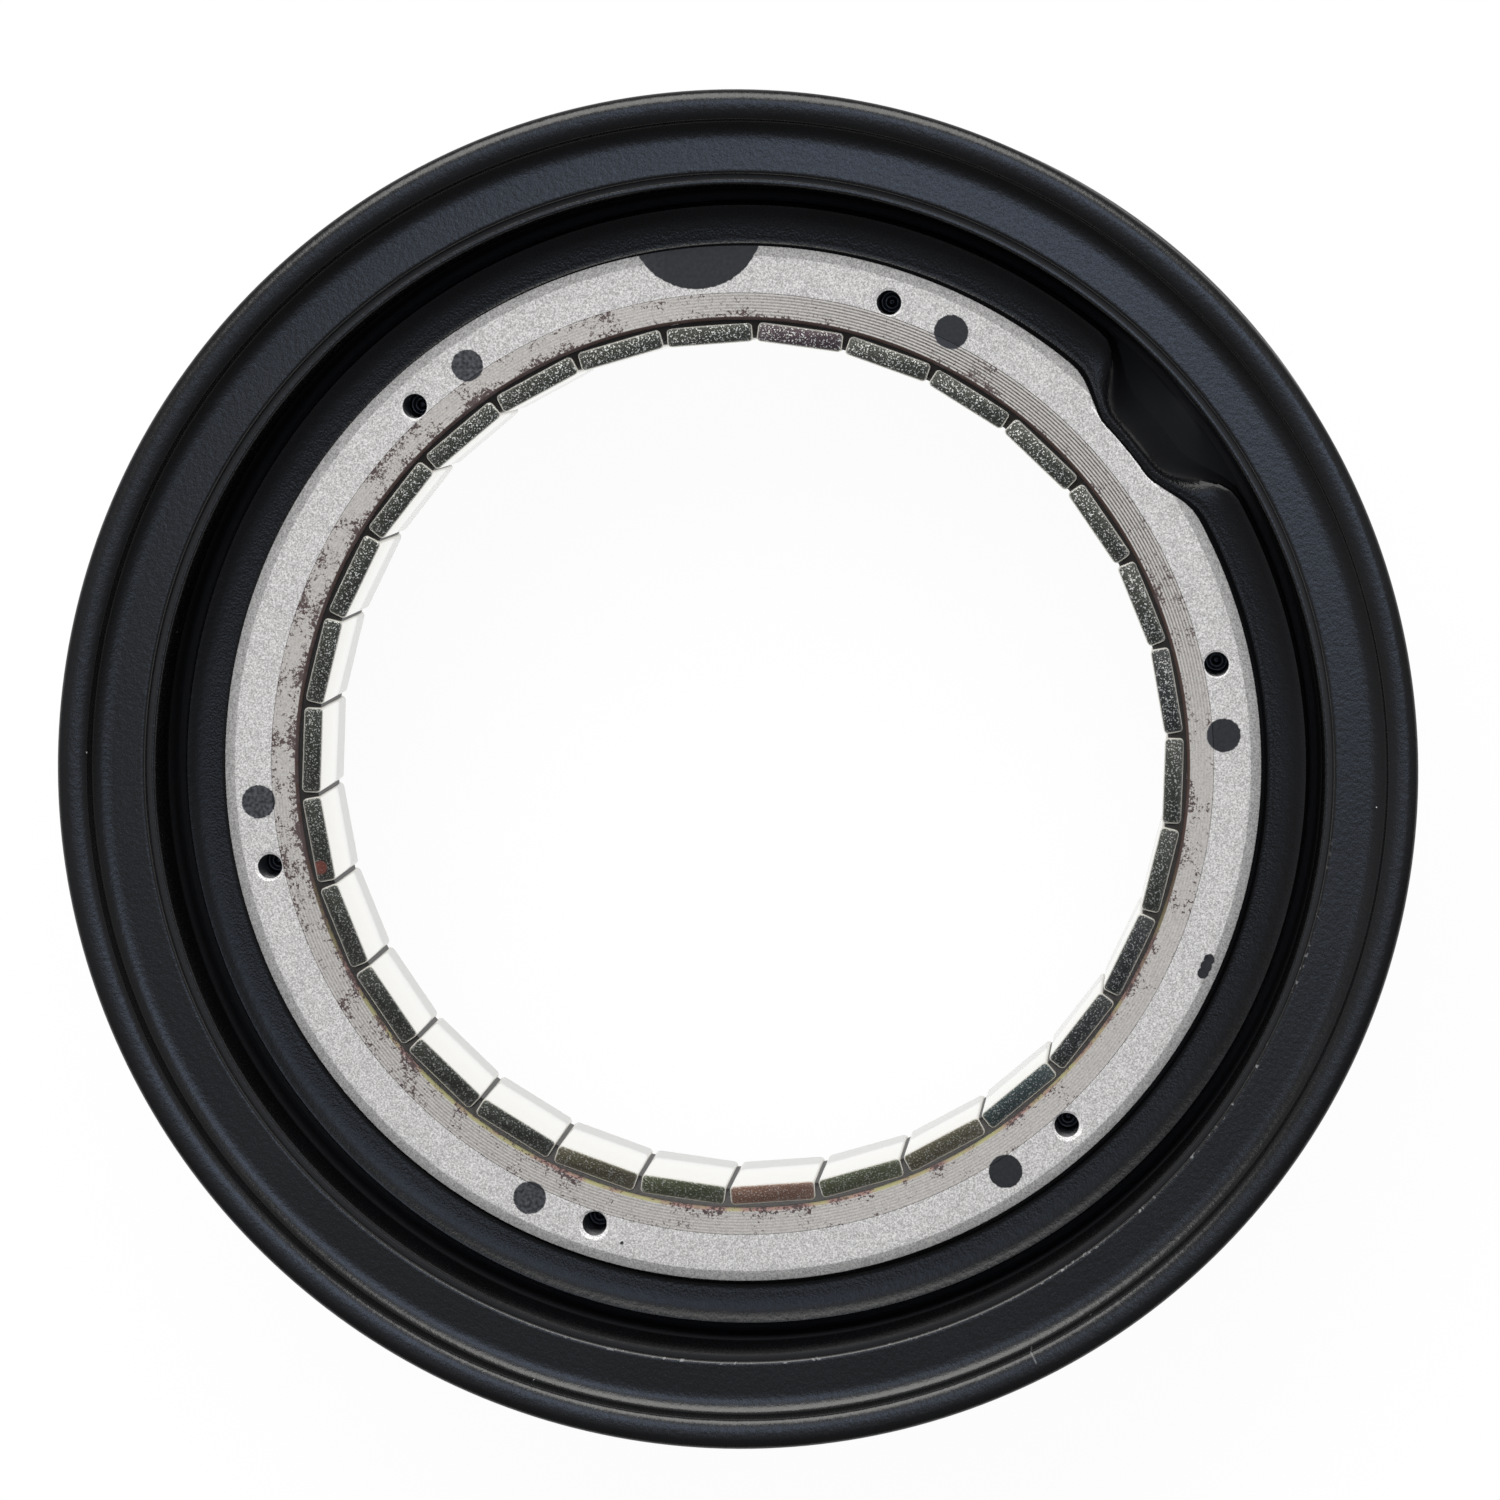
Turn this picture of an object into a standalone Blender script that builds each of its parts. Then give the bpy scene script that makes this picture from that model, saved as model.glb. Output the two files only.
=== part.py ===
"""Rotor of a scooter's hub motor: a cast wheel rim with its steel ring and its magnets.

The wheel lies flat on its rear lip. Its axis is +Z, the hub face that takes the front cover
looks up, and the origin is the centre of the footprint. Lengths are in metres.

Every piece is modelled about the wheel's centre plane. Radii are built up from the bore
outwards: magnets, steel ring, motor shell, trough, tyre seat, flange and lip. In a section,
a point is a pair (radius, height above the centre plane).
"""

import math

import bmesh
import bpy
from mathutils import Matrix, Vector

# Steel ring that closes the magnets' flux
RING_BORE_RADIUS = 0.0613
RING_WALL = 0.0034
RING_CHAMFER = 0.0007

# Block magnets, glued side by side on the ring's bore
MAGNET_COUNT = 30
MAGNET_GAP = 0.00052
MAGNET_THICKNESS = 0.0027
MAGNET_LENGTH = 0.0270
MAGNET_CORNER_RADIUS = 0.00065
MAGNET_EDGE_BREAK = 0.00025
MAGNET_RECESS = 0.0010
FIRST_MAGNET_ANGLE = math.radians(10.2)

# Clearance between pieces that seat on each other, filled by glue or by the cast-in joint
SEAT_GAP = 0.0003

# Motor shell: the thick tube round the ring, with a machined face on each side
SHELL_WIDTH = 0.0300
FACE_WIDTH = 0.0064
FACE_BEVEL_WIDTH = 0.0014
FACE_BEVEL_DROP = 0.0004

# Cast shoulder outside the machined face: a step, a ledge that slopes down to a shallow
# valley, two rises up to a low ridge, and the steep wall of the trough
STEP_WIDTH = 0.0004
STEP_DROP = 0.0005
LEDGE_WIDTH = 0.0022
LEDGE_DROP = 0.0005
RISE_WIDTH = 0.0016
RISE_HEIGHT = 0.0003
RIDGE_WIDTH = 0.0014
RIDGE_HEIGHT = 0.0004
RIDGE_ROUND_WIDTH = 0.0004
RIDGE_ROUND_DROP = 0.0005
SHELL_DRAFT = 0.0003

# Valve clearance, cast into the front edge of the motor shell
NOTCH_ANGLE = math.radians(39.6)
NOTCH_HALF_ANGLE = math.radians(11.0)
NOTCH_FLOOR_HALF_ANGLE = math.radians(3.3)
NOTCH_DEPTH = 0.0029
NOTCH_BEVEL_WIDTH = 0.0003
NOTCH_LEDGE_WIDTH = 0.0006
NOTCH_LEDGE_DROP = 0.0001
NOTCH_RISE_WIDTH = 0.0005
NOTCH_RISE_DROP = 0.0003
NOTCH_RIDGE_WIDTH = 0.0005
NOTCH_RIDGE_DROP = 0.0006
NOTCH_ROUND_WIDTH = 0.0003
NOTCH_ROUND_DROP = 0.0009
NOTCH_FOOT_DEPTH = 0.0046

# Trough between the motor shell and the tyre seat, with the web as its floor
WEB_THICKNESS = 0.0090
TROUGH_FLOOR_WIDTH = 0.0018
TROUGH_CORNER = 0.0008
BARREL_DRAFT = 0.0005

# Tyre side of the barrel: tapered bead seats and a shallow well
BARREL_WALL = 0.0027
BEAD_SEAT_WIDTH = 0.0064
BEAD_SEAT_TAPER = 0.0003
WELL_DEPTH = 0.0009
WELL_SLOPE_WIDTH = 0.0011
FLANGE_ROOT_RADIUS = 0.0013

# Flange: a flat outer band with a small step inside it, a fillet, a groove and a round lip
RECESS_DEPTH = 0.0150
BAND_DROP = 0.0054
BAND_STEP_WIDTH = 0.0013
BAND_STEP_DROP = 0.0010
BAND_EDGE_BREAK = 0.0003
BAND_WIDTH = 0.0050
FLANGE_WALL = 0.0026
FILLET_RADIUS = 0.0014
GROOVE_WIDTH = 0.0007
GROOVE_DEPTH = 0.0004
LIP_RADIUS = 0.0021

# Tapped holes for the cover screws, six in each hub face
HOLE_COUNT = 6
HOLE_RADIUS = 0.00165
HOLE_DEPTH = 0.0100
HOLE_TIP = 0.0010
HOLE_WALL = 0.00015
FIRST_HOLE_ANGLE = math.radians(12.3)

# Valve hole through the barrel, in front of the web and facing the notch
VALVE_HOLE_RADIUS = 0.00415
VALVE_HOLE_EDGE = 0.0004

# Fineness of the turned shapes
WHEEL_STEPS = 60
NOTCH_STEPS = 12
RING_STEPS = 72
HOLE_STEPS = 14
VALVE_STEPS = 20
SMOOTH_ANGLE = math.radians(32)

# Sizes that follow from the ones above
SEAT_RADIUS = RING_BORE_RADIUS + RING_WALL + SEAT_GAP
FACE_HEIGHT = SHELL_WIDTH / 2
FACE_EDGE_RADIUS = SEAT_RADIUS + FACE_WIDTH
LIP_HEIGHT = FACE_HEIGHT + RECESS_DEPTH
WEB_HEIGHT = WEB_THICKNESS / 2
BAND_HEIGHT = LIP_HEIGHT - BAND_DROP
HOLE_CIRCLE_RADIUS = SEAT_RADIUS + HOLE_WALL + HOLE_RADIUS

# How far a cutter reaches past a surface, and the distance below which two points are one
CUT_MARGIN = 0.0010
SAME_POINT = 0.00001


def arc(centre, radius, start, end, steps):
    """Points of an arc in the section, from one angle in degrees to another."""
    points = []
    for step in range(steps + 1):
        angle = math.radians(start + (end - start) * step / steps)
        points.append((centre[0] + radius * math.cos(angle), centre[1] + radius * math.sin(angle)))
    return points


def mix(plain, notched, share):
    return plain + (notched - plain) * share


def shell_corner(share):
    """Machined face, shoulder and outer wall of the motor shell, down to the trough.

    A share of 0 is the plain corner, and 1 is the corner where the notch is deepest. There the
    ridge is gone: the shoulder only rounds over into the wall.
    """
    edge = FACE_EDGE_RADIUS - share * NOTCH_DEPTH
    bevel_start = edge - mix(FACE_BEVEL_WIDTH, NOTCH_BEVEL_WIDTH, share)
    bevel_foot = FACE_HEIGHT - mix(FACE_BEVEL_DROP, 0, share)
    step_foot = edge + STEP_WIDTH
    step_height = FACE_HEIGHT - FACE_BEVEL_DROP - STEP_DROP
    valley = step_foot + mix(LEDGE_WIDTH, NOTCH_LEDGE_WIDTH, share)
    valley_height = step_height - mix(LEDGE_DROP, NOTCH_LEDGE_DROP, share)
    rise = valley + mix(RISE_WIDTH, NOTCH_RISE_WIDTH, share)
    rise_height = valley_height + mix(RISE_HEIGHT, -NOTCH_RISE_DROP, share)
    ridge = rise + mix(RIDGE_WIDTH, NOTCH_RIDGE_WIDTH, share)
    ridge_height = rise_height + mix(RIDGE_HEIGHT, -NOTCH_RIDGE_DROP, share)
    wall_top = ridge + mix(RIDGE_ROUND_WIDTH, NOTCH_ROUND_WIDTH, share)
    wall_height = ridge_height - mix(RIDGE_ROUND_DROP, NOTCH_ROUND_DROP, share)
    foot = trough_foot_radius() - share * NOTCH_FOOT_DEPTH
    return [
        (bevel_start, FACE_HEIGHT),
        (edge, bevel_foot),
        (step_foot, step_height),
        (valley, valley_height),
        (rise, rise_height),
        (ridge, ridge_height),
        (wall_top, wall_height),
        (foot, WEB_HEIGHT + TROUGH_CORNER),
    ]


def trough_foot_radius():
    """Radius of the motor shell's outer wall where it meets the web."""
    shoulder = STEP_WIDTH + LEDGE_WIDTH + RISE_WIDTH + RIDGE_WIDTH + RIDGE_ROUND_WIDTH
    return FACE_EDGE_RADIUS + shoulder + SHELL_DRAFT


def barrel_wall_radius():
    """Radius of the trough's outer wall at its mouth."""
    return trough_foot_radius() + TROUGH_FLOOR_WIDTH + BARREL_DRAFT


def trough_and_step():
    """Floor and outer wall of the trough, and the small step up to the flange's flat band."""
    foot = trough_foot_radius()
    mouth = barrel_wall_radius()
    band_start = mouth + BAND_STEP_WIDTH
    mouth_height = BAND_HEIGHT - BAND_STEP_DROP
    return [
        (foot + TROUGH_FLOOR_WIDTH / 2, WEB_HEIGHT),
        (foot + TROUGH_FLOOR_WIDTH, WEB_HEIGHT + TROUGH_CORNER),
        (mouth, mouth_height - BAND_EDGE_BREAK),
        (band_start - BAND_EDGE_BREAK, mouth_height),
        (band_start, BAND_HEIGHT),
        (band_start + BAND_WIDTH, BAND_HEIGHT),
    ]


def lip():
    """Fillet, groove and round lip at the flange's rim, ending on its tyre side."""
    band_end = barrel_wall_radius() + BAND_STEP_WIDTH + BAND_WIDTH
    fillet_centre = (band_end, BAND_HEIGHT + FILLET_RADIUS)
    fillet = arc(fillet_centre, FILLET_RADIUS, -90, 0, 3)[1:]
    inner_side = band_end + FILLET_RADIUS + GROOVE_WIDTH
    groove = (inner_side - GROOVE_WIDTH / 3, fillet[-1][1] - GROOVE_DEPTH)
    lip_centre = (inner_side + LIP_RADIUS, LIP_HEIGHT - LIP_RADIUS)
    return fillet + [groove] + arc(lip_centre, LIP_RADIUS, 198, -45, 9)


def tyre_side(lip_end):
    """Flange curve, bead seat and well, from the lip's tyre side to the well's edge."""
    seat = barrel_wall_radius() + BARREL_WALL
    root = seat + FLANGE_ROOT_RADIUS
    flange_height = BAND_HEIGHT - FLANGE_WALL
    run = lip_end[0] - root
    rise = lip_end[1] - flange_height
    curve_radius = (run * run + rise * rise) / (2 * rise)
    curve_centre = (root, flange_height + curve_radius)
    curve_end = math.degrees(math.atan2(lip_end[1] - curve_centre[1], run))
    curve = arc(curve_centre, curve_radius, curve_end, -90, 3)[1:]
    root_centre = (root, flange_height - FLANGE_ROOT_RADIUS)
    root_fillet = arc(root_centre, FLANGE_ROOT_RADIUS, 90, 180, 2)[1:]
    seat_end_height = flange_height - FLANGE_ROOT_RADIUS - BEAD_SEAT_WIDTH
    seat_end = (seat - BEAD_SEAT_TAPER, seat_end_height)
    well_edge = (seat_end[0] - WELL_DEPTH, seat_end_height - WELL_SLOPE_WIDTH)
    return curve + root_fillet + [seat_end, well_edge]


def casting_half():
    """Half of the casting's section, from the ring's seat over the lip to the well."""
    inner = [(SEAT_RADIUS, FACE_HEIGHT)] + shell_corner(0) + trough_and_step()
    rim = lip()
    return inner + rim + tyre_side(rim[-1])


def ring_section():
    """Section of the steel ring, whose ends lie flush with the machined hub faces."""
    outer = RING_BORE_RADIUS + RING_WALL
    chamfer_start = RING_BORE_RADIUS + RING_CHAMFER
    chamfer_height = FACE_HEIGHT - RING_CHAMFER
    upper = [(RING_BORE_RADIUS, chamfer_height), (chamfer_start, FACE_HEIGHT), (outer, FACE_HEIGHT)]
    return upper + mirrored(upper)


def mirrored(points):
    """The same points on the other side of the centre plane, in reverse order."""
    return [(radius, -height) for radius, height in reversed(points)]


def notch_share(angle):
    """How deep the notch is at an angle from its middle: 1 on its floor, 0 beyond its flanks."""
    flank = NOTCH_HALF_ANGLE - NOTCH_FLOOR_HALF_ANGLE
    along = (abs(angle) - NOTCH_FLOOR_HALF_ANGLE) / flank
    along = min(max(along, 0.0), 1.0)
    return 0.5 + 0.5 * math.cos(math.pi * along)


def spin_section(bm, section, start, sectors):
    """Turn a closed section about the axis. Each sector is (angle, number of steps)."""
    turn = Matrix.Rotation(start, 3, "Z")
    verts = [bm.verts.new(turn @ Vector((radius, 0, height))) for radius, height in section]
    edges = [bm.edges.new((verts[i - 1], verts[i])) for i in range(len(verts))]
    geometry = verts + edges
    for angle, steps in sectors:
        result = bmesh.ops.spin(bm, geom=geometry, axis=(0, 0, 1), cent=(0, 0, 0),
                                angle=angle, steps=steps)
        geometry = result["geom_last"]
    bmesh.ops.remove_doubles(bm, verts=bm.verts[:], dist=SAME_POINT)
    bmesh.ops.recalc_face_normals(bm, faces=bm.faces[:])


def press_notch(bm):
    """Move the front corner of the motor shell inwards where the notch is."""
    plain = shell_corner(0)
    for vert in bm.verts:
        radius = math.hypot(vert.co.x, vert.co.y)
        angle = math.atan2(vert.co.y, vert.co.x)
        share = notch_share(math.remainder(angle - NOTCH_ANGLE, math.tau))
        if share == 0:
            continue
        for index, (plain_radius, plain_height) in enumerate(plain):
            same_radius = abs(radius - plain_radius) < SAME_POINT
            if same_radius and abs(vert.co.z - plain_height) < SAME_POINT:
                new_radius, new_height = shell_corner(share)[index]
                vert.co.x *= new_radius / radius
                vert.co.y *= new_radius / radius
                vert.co.z = new_height
                break


def mark_machined_faces(bm):
    """Give the ring's seat and the two turned hub faces the bare metal's material slot."""
    edge = FACE_EDGE_RADIUS + SAME_POINT
    for face in bm.faces:
        turned = all(math.hypot(vert.co.x, vert.co.y) < edge for vert in face.verts)
        face.material_index = 1 if turned else 0


def make_material(name, colour, roughness, metallic):
    material = bpy.data.materials.new(name)
    material.use_nodes = True
    shader = material.node_tree.nodes["Principled BSDF"]
    shader.inputs["Base Color"].default_value = (*colour, 1)
    shader.inputs["Roughness"].default_value = roughness
    shader.inputs["Metallic"].default_value = metallic
    return material


def add_object(name, mesh, parent, materials=()):
    """Put a mesh in the scene under a parent, shaded smooth up to the sharp edges."""
    for material in materials:
        mesh.materials.append(material)
    mesh.shade_smooth()
    mesh.set_sharp_from_angle(angle=SMOOTH_ANGLE)
    obj = bpy.data.objects.new(name, mesh)
    bpy.context.collection.objects.link(obj)
    obj.parent = parent
    return obj


def mesh_from(bm, name):
    mesh = bpy.data.meshes.new(name)
    bm.to_mesh(mesh)
    bm.free()
    return mesh


def cut(obj, cutter):
    """Subtract a cutter, which stays in the scene as a wire shape that isn't rendered."""
    cutter.hide_render = True
    cutter.display_type = "WIRE"
    modifier = obj.modifiers.new("cut_" + cutter.name, "BOOLEAN")
    modifier.operation = "DIFFERENCE"
    modifier.solver = "EXACT"
    modifier.object = cutter


def make_tapped_holes(parent):
    """Drills for the cover screws: plain bores with a pointed floor, in both hub faces."""
    bm = bmesh.new()
    depth = HOLE_DEPTH + CUT_MARGIN
    for side in (1, -1):
        centre_height = FACE_HEIGHT + CUT_MARGIN - depth / 2
        for index in range(HOLE_COUNT):
            angle = FIRST_HOLE_ANGLE + index * math.tau / HOLE_COUNT
            x = HOLE_CIRCLE_RADIUS * math.cos(angle)
            y = HOLE_CIRCLE_RADIUS * math.sin(angle)
            place = Matrix.Translation((x, y, side * centre_height))
            drill = bmesh.ops.create_cone(bm, cap_ends=True, cap_tris=True, segments=HOLE_STEPS,
                                          radius1=HOLE_RADIUS, radius2=HOLE_RADIUS,
                                          depth=depth, matrix=place)
            for vert in drill["verts"]:
                on_axis = math.hypot(vert.co.x - x, vert.co.y - y) < HOLE_RADIUS / 2
                if on_axis and abs(vert.co.z) < FACE_HEIGHT:
                    vert.co.z -= side * HOLE_TIP
    return add_object("tapped_hole_cutter", mesh_from(bm, "tapped_hole_cutter"), parent)


def make_valve_hole(parent):
    """Drill for the valve, radial, just clear of the corner between web and barrel."""
    seat = barrel_wall_radius() + BARREL_WALL
    height = WEB_HEIGHT + TROUGH_CORNER + VALVE_HOLE_EDGE + VALVE_HOLE_RADIUS
    inner_end = trough_foot_radius() + TROUGH_FLOOR_WIDTH / 2
    length = seat + CUT_MARGIN - inner_end
    bm = bmesh.new()
    across = Matrix.Rotation(math.pi / 2, 4, "Y")
    place = Matrix.Translation((inner_end + length / 2, 0, height)) @ across
    bmesh.ops.create_cone(bm, cap_ends=True, segments=VALVE_STEPS, radius1=VALVE_HOLE_RADIUS,
                          radius2=VALVE_HOLE_RADIUS, depth=length, matrix=place)
    cutter = add_object("valve_hole_cutter", mesh_from(bm, "valve_hole_cutter"), parent)
    cutter.rotation_euler.z = NOTCH_ANGLE
    return cutter


def make_casting(parent):
    """The die-cast wheel: motor shell, web, barrel and flanges in one piece."""
    bm = bmesh.new()
    half = casting_half()
    sector = 2 * NOTCH_HALF_ANGLE
    sectors = [(sector, NOTCH_STEPS), (math.tau - sector, WHEEL_STEPS)]
    spin_section(bm, half + mirrored(half), NOTCH_ANGLE - NOTCH_HALF_ANGLE, sectors)
    press_notch(bm)
    mark_machined_faces(bm)
    coat = make_material("black_powder_coat", (0.012, 0.013, 0.016), 0.45, 0.0)
    bare = make_material("machined_aluminium", (0.68, 0.67, 0.68), 0.4, 1.0)
    casting = add_object("rim_casting", mesh_from(bm, "rim_casting"), parent, (coat, bare))
    cut(casting, make_tapped_holes(parent))
    cut(casting, make_valve_hole(parent))


def make_ring(parent):
    bm = bmesh.new()
    spin_section(bm, ring_section(), 0, [(math.tau, RING_STEPS)])
    steel = make_material("turned_steel", (0.48, 0.45, 0.44), 0.4, 1.0)
    add_object("flux_ring", mesh_from(bm, "flux_ring"), parent, (steel,))


def magnet_seat():
    """Width of a block, and the radius of its flat back, where its back corners meet the bore.

    The blocks fill the bore side by side, so both follow from their number and their gap.
    """
    half_pitch = math.pi / MAGNET_COUNT
    corner_reach = RING_BORE_RADIUS - SEAT_GAP - MAGNET_CORNER_RADIUS
    straight_side = MAGNET_THICKNESS - 2 * MAGNET_CORNER_RADIUS
    clearance = MAGNET_GAP / 2 + MAGNET_CORNER_RADIUS + straight_side * math.sin(half_pitch)
    corner_angle = half_pitch - math.asin(clearance / corner_reach)
    width = 2 * (corner_reach * math.sin(corner_angle) + MAGNET_CORNER_RADIUS)
    back_radius = corner_reach * math.cos(corner_angle) + MAGNET_CORNER_RADIUS
    return width, back_radius


def magnet_mesh(width):
    """A block with rounded long edges and lightly broken ends, its length along Z."""
    bm = bmesh.new()
    straight_length = MAGNET_LENGTH - 2 * MAGNET_EDGE_BREAK
    size = Matrix.Diagonal((MAGNET_THICKNESS, width, straight_length, 1))
    bmesh.ops.create_cube(bm, size=1, matrix=size)
    long_edges = [edge for edge in bm.edges if edge.calc_length() > straight_length - SAME_POINT]
    bmesh.ops.bevel(bm, geom=long_edges, offset=MAGNET_CORNER_RADIUS, segments=2, profile=0.5,
                    affect="EDGES")
    bm.normal_update()
    ends = [face for face in bm.faces if abs(face.normal.z) > 0.9]
    bmesh.ops.inset_individual(bm, faces=ends, thickness=MAGNET_EDGE_BREAK, depth=MAGNET_EDGE_BREAK)
    return mesh_from(bm, "magnet")


def make_magnets(parent):
    """Equal blocks, each seated with its two back corners against the ring's bore."""
    width, back_radius = magnet_seat()
    mesh = magnet_mesh(width)
    nickel = make_material("nickel_plate", (0.24, 0.25, 0.21), 0.38, 1.0)
    mesh.materials.append(nickel)
    radius = back_radius - MAGNET_THICKNESS / 2
    height = FACE_HEIGHT - MAGNET_RECESS - MAGNET_LENGTH / 2
    for index in range(MAGNET_COUNT):
        angle = FIRST_MAGNET_ANGLE + index * math.tau / MAGNET_COUNT
        magnet = add_object(f"magnet_{index + 1:02d}", mesh, parent)
        magnet.location = (radius * math.cos(angle), radius * math.sin(angle), height)
        magnet.rotation_euler.z = angle


def main():
    for obj in list(bpy.data.objects):
        bpy.data.objects.remove(obj, do_unlink=True)
    wheel_centre = bpy.data.objects.new("wheel_centre", None)
    bpy.context.collection.objects.link(wheel_centre)
    wheel_centre.location.z = LIP_HEIGHT
    make_casting(wheel_centre)
    make_ring(wheel_centre)
    make_magnets(wheel_centre)
    bpy.context.view_layer.update()


main()
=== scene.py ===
# %% [markdown]
# # The rotor of a hub motor
#
# A scooter's hub motor is wheel and motor in one. This is its turning half: a cast aluminium rim,
# a steel ring in its middle and thirty magnets on the ring. The first cell loads the plain CAD
# model. It stays as the frame, and the pieces made here take the place of its nodes. Only the glue
# between the magnets is extra.

# %% Load the CAD model
import math
import random
import bpy
from mathutils import Matrix, Vector


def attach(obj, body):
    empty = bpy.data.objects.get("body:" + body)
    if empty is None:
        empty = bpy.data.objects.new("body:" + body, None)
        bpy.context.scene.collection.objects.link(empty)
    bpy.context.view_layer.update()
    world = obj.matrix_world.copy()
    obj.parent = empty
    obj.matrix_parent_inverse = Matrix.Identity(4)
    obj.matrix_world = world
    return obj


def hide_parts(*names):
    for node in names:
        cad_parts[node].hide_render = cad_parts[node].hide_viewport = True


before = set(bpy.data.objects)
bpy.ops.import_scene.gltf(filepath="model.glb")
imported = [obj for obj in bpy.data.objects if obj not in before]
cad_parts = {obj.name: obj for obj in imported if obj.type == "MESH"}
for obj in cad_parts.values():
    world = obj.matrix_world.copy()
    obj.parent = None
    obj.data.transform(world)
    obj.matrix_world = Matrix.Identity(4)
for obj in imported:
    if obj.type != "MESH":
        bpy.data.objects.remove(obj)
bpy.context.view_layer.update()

# %% [markdown]
# ## Small helpers for modelling
#
# An operator acts on everything that is selected, so each step starts with nothing selected. The
# helpers below start a piece, pick vertices or faces by their place, and name a finished piece.
# Lengths in this lesson are millimetres, because that is how a maker thinks of a wheel, and the
# scene is in metres, so MM turns one into the other.

# %% Helpers for modelling
MM = 0.001
CENTRE = 30.0  # height of the wheel's centre plane above the table, in millimetres


def deselect():
    """Leave edit mode and select nothing."""
    if bpy.context.object and bpy.context.object.mode == "EDIT":
        bpy.ops.object.mode_set(mode="OBJECT")
    bpy.ops.object.select_all(action="DESELECT")


def only(piece):
    """Select one piece and make it the active one."""
    deselect()
    piece.select_set(True)
    bpy.context.view_layer.objects.active = piece


def pick(piece, kind, wanted):
    """Select the faces or vertices that pass the test, stay in edit mode and count them."""
    bpy.ops.object.mode_set(mode="EDIT")
    bpy.ops.mesh.select_mode(type="FACE" if kind == "polygons" else "VERT")
    bpy.ops.mesh.select_all(action="DESELECT")
    bpy.ops.object.mode_set(mode="OBJECT")
    count = 0
    for part in getattr(piece.data, kind):
        part.select = wanted(part)
        count += part.select
    bpy.ops.object.mode_set(mode="EDIT")
    return count


def settle(piece):
    """Put the piece's place into its mesh, so that the object sits at the origin."""
    only(piece)
    bpy.ops.object.transform_apply(location=True, rotation=True, scale=True)


# %% [markdown]
# ## Small helpers for materials
#
# Colours are written as hex values, the way a picture program shows them, and Blender wants them
# linear. One function does that. Another adds a shader node with its settings and links, so a
# material reads as a list of steps.

# %% Helpers for materials
def tone(hex_colour):
    """An sRGB hex colour as the linear colour that Blender uses."""
    channels = [int(hex_colour[i:i + 2], 16) / 255 for i in (1, 3, 5)]
    linear = [c / 12.92 if c <= 0.04045 else ((c + 0.055) / 1.055) ** 2.4 for c in channels]
    return (*linear, 1.0)


def add_node(material, kind, settings=None, **links):
    """Add a node. Settings are its own properties, or just the name of its operation. A link is
    a node (its first output is meant), a socket or a plain value; i0, i1 ... count sockets."""
    tree = material.node_tree
    node = tree.nodes.new("ShaderNode" + kind)
    if isinstance(settings, str):
        settings = {"operation": settings}
    for name, value in (settings or {}).items():
        setattr(node, name, value)
    for name, value in links.items():
        key = int(name[1:]) if name[0] == "i" and name[1:].isdigit() else name.replace("_", " ")
        socket = node.inputs[key]
        if isinstance(value, bpy.types.Node):
            value = value.outputs[0]
        if isinstance(value, bpy.types.NodeSocket):
            tree.links.new(value, socket)
        else:
            socket.default_value = value
    return node


def new_material(name):
    """A material with nothing in it but its output."""
    material = bpy.data.materials.new(name)
    material.use_nodes = True
    material.node_tree.nodes.clear()
    return material


# %% [markdown]
# ## The camera
#
# The photograph looks nearly straight down. Its lean shows in the lip: that circle and the one of
# the hub face inside it do not share a centre. One picture does not tell how much of that is lean
# and how much is the depth between them. Here the depth is taken as 15 mm, and then a camera a
# metre away that leans five degrees towards +X and +Y gives both circles their places.

# %% Camera
deselect()
aim = Vector((2.07, 3.11, 57.9)) * MM
eye = Vector((64.0, 72.9, 1055.7)) * MM
back = (eye - aim).normalized()
right = Vector((0, 1, 0)).cross(back).normalized()
up = back.cross(right)
turn = Matrix((right, up, back)).transposed().to_4x4()
lens = bpy.data.cameras.new("camera")
lens.lens = 177.1
lens.sensor_width = 36
lens.clip_start = 0.05
camera = bpy.data.objects.new("camera", lens)
bpy.context.scene.collection.objects.link(camera)
camera.matrix_world = Matrix.Translation(eye) @ turn
bpy.context.scene.camera = camera
bpy.context.scene.view_settings.view_transform = "Standard"
print("camera leans", round(math.degrees(back.angle(Vector((0, 0, 1)))), 2), "degrees")

# %% [markdown]
# ## The rim's section
#
# The rim is one aluminium casting, turned on a lathe where something seats on it. A turned shape
# is easiest as a section that is swept round its axis. The list below is half of that section,
# as (radius, height above the centre plane): machined face, cast shoulder, trough, flat band,
# fillet, groove, lip, and the side that carries the tyre. The shoulder has a second pair of
# numbers, its shape in the middle of the notch for the valve.

# %% Half of the section
def arc(centre, radius, start, end, steps):
    """Points on an arc, in degrees, both ends included."""
    angles = [math.radians(start + (end - start) * i / steps) for i in range(steps + 1)]
    return [(centre[0] + radius * math.cos(a), centre[1] + radius * math.sin(a)) for a in angles]


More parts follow.
